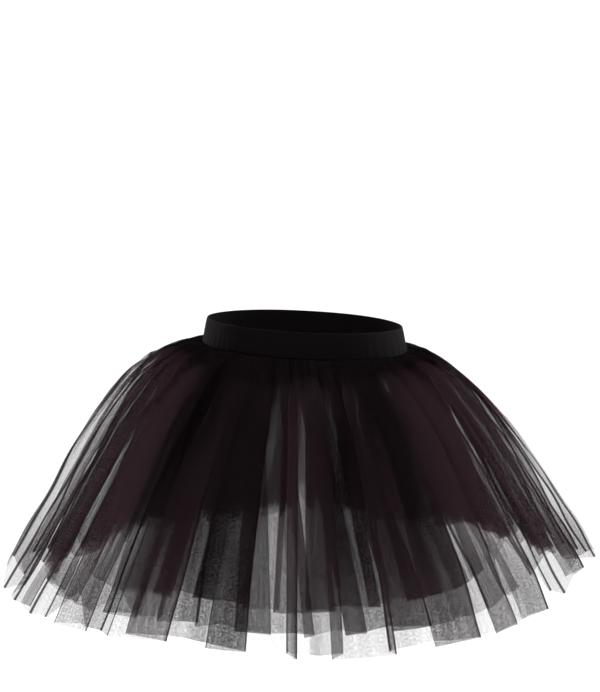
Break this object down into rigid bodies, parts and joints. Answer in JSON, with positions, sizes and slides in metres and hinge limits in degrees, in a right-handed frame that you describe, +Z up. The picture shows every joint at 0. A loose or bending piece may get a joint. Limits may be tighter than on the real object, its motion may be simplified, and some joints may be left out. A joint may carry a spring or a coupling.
{
  "type": "tutu skirt",
  "caption": "Hollow tutu skirt in its worn shape: a narrow stretch waistband with flared layers of soft net in loose flat pleats, open at waist and hem.",
  "frame": {"origin": "centre of the waist, halfway up the waistband, where the wearer holds the skirt", "axes": "+Z up, out of the waist, -Y to the front, +X to the wearer's left"},
  "size_m": [0.5851, 0.585, 0.287],
  "materials": {
    "stretch_cloth": "matt black knit",
    "net": "sheer black net"
  },
  "bodies": {
    "root": {"waistband": "stretch_cloth", "net_outer": "net", "net_middle": "net", "net_inner": "net"}
  },
  "joints": []
}
